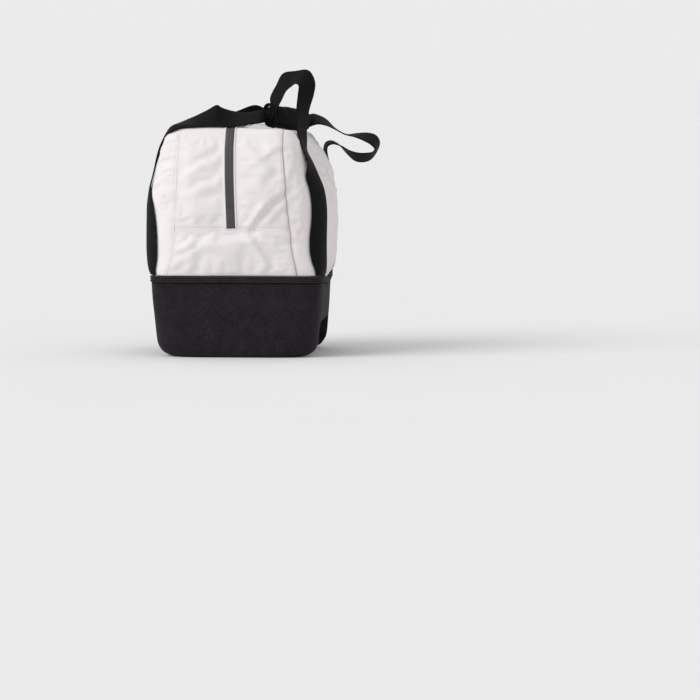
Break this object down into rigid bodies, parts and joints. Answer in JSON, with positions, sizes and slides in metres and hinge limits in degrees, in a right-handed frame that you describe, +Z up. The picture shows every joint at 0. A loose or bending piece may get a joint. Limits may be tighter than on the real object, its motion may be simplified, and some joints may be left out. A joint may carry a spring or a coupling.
{
  "type": "bicycle trunk bag",
  "caption": "Soft zipped bag on a stiff hollow tub whose tunnel straddles a bicycle carrier, with webbing handles joined by a padded wrap.",
  "frame": {"origin": "middle of the flat roof of the tunnel, where the bag sits on the carrier", "axes": "+X along the direction of travel, +Y from the near side to the far side, +Z up"},
  "size_m": [0.3662, 0.2631, 0.4534],
  "materials": {
    "tub": "matte coated fabric",
    "band": "ribbed woven band",
    "white": "matte woven cloth",
    "side": "matte woven cloth",
    "zip": "coated zip tape",
    "slider": "satin",
    "web": "woven webbing",
    "wrap": "padded matte cloth"
  },
  "bodies": {
    "root": {"base_shell": "tub", "rim_band": "band", "near_lower_panel": "white", "far_lower_panel": "white", "rear_lid_panel": "white", "front_lid_panel": "white", "rear_side_panel": "side", "front_side_panel": "side", "zip_tape": "zip", "zip_slider": "slider", "rear_handle": "web", "front_handle": "web", "handle_grip": "wrap"}
  },
  "joints": []
}
